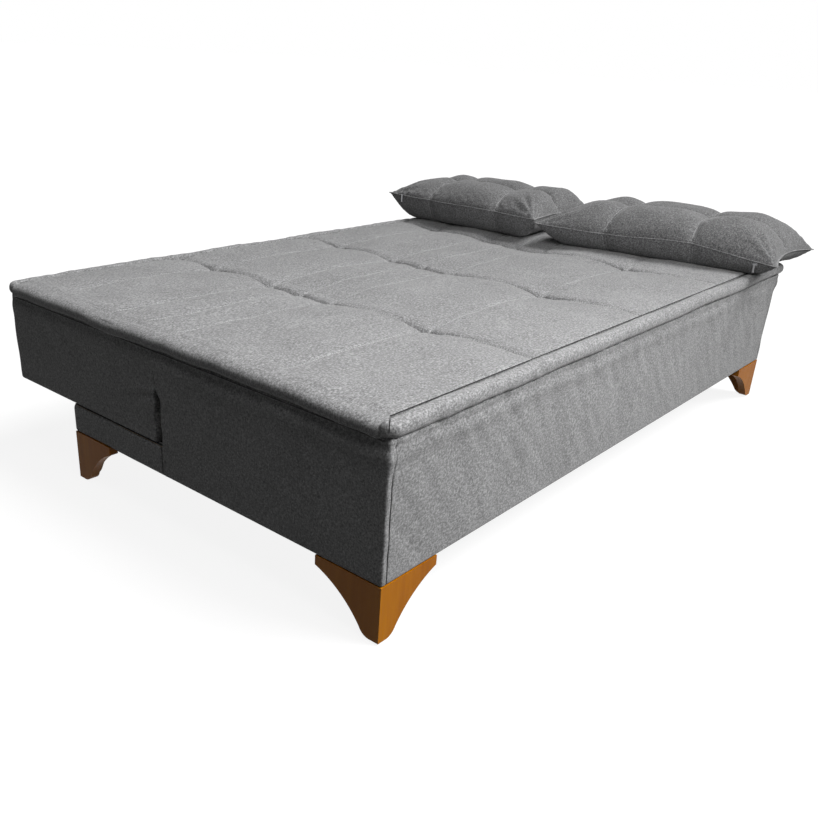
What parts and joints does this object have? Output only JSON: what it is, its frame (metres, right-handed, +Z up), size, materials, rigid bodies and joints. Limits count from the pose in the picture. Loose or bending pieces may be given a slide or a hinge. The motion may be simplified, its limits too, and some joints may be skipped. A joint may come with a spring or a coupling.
{
  "type": "sofa bed",
  "caption": "Upholstered reclining sofa bed lying flat as a bed: boxed seat on four bracket legs, hinged tufted back, two loose quilted pillows.",
  "frame": {"origin": "on the floor, under the middle of the whole open bed, pillows included", "axes": "+X along the length towards the pillow end, +Y from the front edge to the rear edge of the opened back, +Z up"},
  "size_m": [1.9464, 1.2673, 0.5685],
  "materials": {
    "sofa_cloth": "woven grey melange with light and dark flecks",
    "pillow_cloth": "woven grey melange, quilted",
    "lining_cloth": "thin black non-woven lining",
    "foam": "open-cell foam, matte",
    "webbing": "elastic woven webbing",
    "frame_wood": "plain sawn pine and plywood",
    "stained_leg_wood": "honey stained, satin varnish, vertical grain",
    "hinge_steel": "pressed steel, zinc plated",
    "zinc_screws": "zinc plated",
    "zip_metal": "nickel plated",
    "glide_plastic": "matte nylon"
  },
  "bodies": {
    "base": {"base_front_board": "frame_wood", "base_lining": "lining_cloth", "base_middle_board": "frame_wood", "base_side_board_left": "frame_wood", "base_side_board_right": "frame_wood", "corner_blocks": "frame_wood", "front_cover": "sofa_cloth", "hinge_fixed_left": "hinge_steel", "hinge_fixed_right": "hinge_steel", "ledge_end_cover_left": "sofa_cloth", "ledge_end_cover_right": "sofa_cloth", "ledge_middle_board": "frame_wood", "ledge_rear_board": "frame_wood", "ledge_rear_cover": "sofa_cloth", "ledge_top_cover": "lining_cloth", "leg_dowels": "frame_wood", "leg_front_left": "stained_leg_wood", "leg_front_right": "stained_leg_wood", "leg_glides": "glide_plastic", "leg_rear_left": "stained_leg_wood", "leg_rear_right": "stained_leg_wood", "pivot_bolt_left": "zinc_screws", "pivot_bolt_right": "zinc_screws", "pivot_nut_left": "zinc_screws", "pivot_nut_right": "zinc_screws", "seat_edge_roll": "sofa_cloth", "seat_end_cover_left": "sofa_cloth", "seat_end_cover_right": "sofa_cloth", "seat_foam": "foam", "seat_hinge_screws": "zinc_screws", "seat_pad": "sofa_cloth", "seat_rear_board": "frame_wood", "seat_rear_cover": "sofa_cloth", "seat_webbing": "webbing"},
    "backrest": {"back_edge_roll": "sofa_cloth", "back_end_cover_left": "sofa_cloth", "back_end_cover_right": "sofa_cloth", "back_foam": "foam", "back_hinge_screws": "zinc_screws", "back_inner_cover": "sofa_cloth", "back_lower_rail": "frame_wood", "back_pad": "sofa_cloth", "back_rear_cover": "sofa_cloth", "back_stile_left": "frame_wood", "back_stile_middle": "frame_wood", "back_stile_right": "frame_wood", "back_under_cover": "lining_cloth", "back_upper_rail": "frame_wood", "back_webbing": "webbing", "hinge_moving_left": "hinge_steel", "hinge_moving_right": "hinge_steel"},
    "pillow_rear": {"pillow_rear": "pillow_cloth"},
    "pillow_front": {"pillow_front": "pillow_cloth"},
    "zip_slider_rear": {"pillow_rear_zip_slider": "zip_metal"},
    "zip_slider_front": {"pillow_front_zip_slider": "zip_metal"},
    "zip_tab_rear": {"pillow_rear_zip_tab": "zip_metal"},
    "zip_tab_front": {"pillow_front_zip_tab": "zip_metal"}
  },
  "joints": [
    {"name": "backrest_recline", "type": "hinge", "parent": "base", "child": "backrest", "pos_m": [0, 0.043, 0.385], "axis": [1, 0, 0], "range_deg": [0, 75]},
    {"name": "pillow_rear_shift", "type": "slide", "parent": "backrest", "child": "pillow_rear", "axis": [0, 1, 0], "range_m": [0, 0.105]},
    {"name": "pillow_front_shift", "type": "slide", "parent": "base", "child": "pillow_front", "axis": [0, -1, 0], "range_m": [0, 0.184]},
    {"name": "zip_rear_slide", "type": "slide", "parent": "pillow_rear", "child": "zip_slider_rear", "axis": [0.0262, -0.9997, 0], "range_m": [0, 0.46]},
    {"name": "zip_front_slide", "type": "slide", "parent": "pillow_front", "child": "zip_slider_front", "axis": [-0.1132, 0.9936, 0], "range_m": [0, 0.52]},
    {"name": "zip_tab_rear_swing", "type": "hinge", "parent": "zip_slider_rear", "child": "zip_tab_rear", "pos_m": [0.47202, 0.58666, 0.5065], "axis": [-0.0262, 0.9997, 0], "range_deg": [0, 100]},
    {"name": "zip_tab_front_swing", "type": "hinge", "parent": "zip_slider_front", "child": "zip_tab_front", "pos_m": [0.58154, -0.59192, 0.4705], "axis": [-0.1132, 0.9936, 0], "range_deg": [0, 100]}
  ],
  "couplings": [
    {"joint": "pillow_rear_shift", "follows": "backrest_recline", "m_per_rad": 0.08},
    {"joint": "pillow_front_shift", "follows": "backrest_recline", "m_per_rad": 0.14}
  ]
}
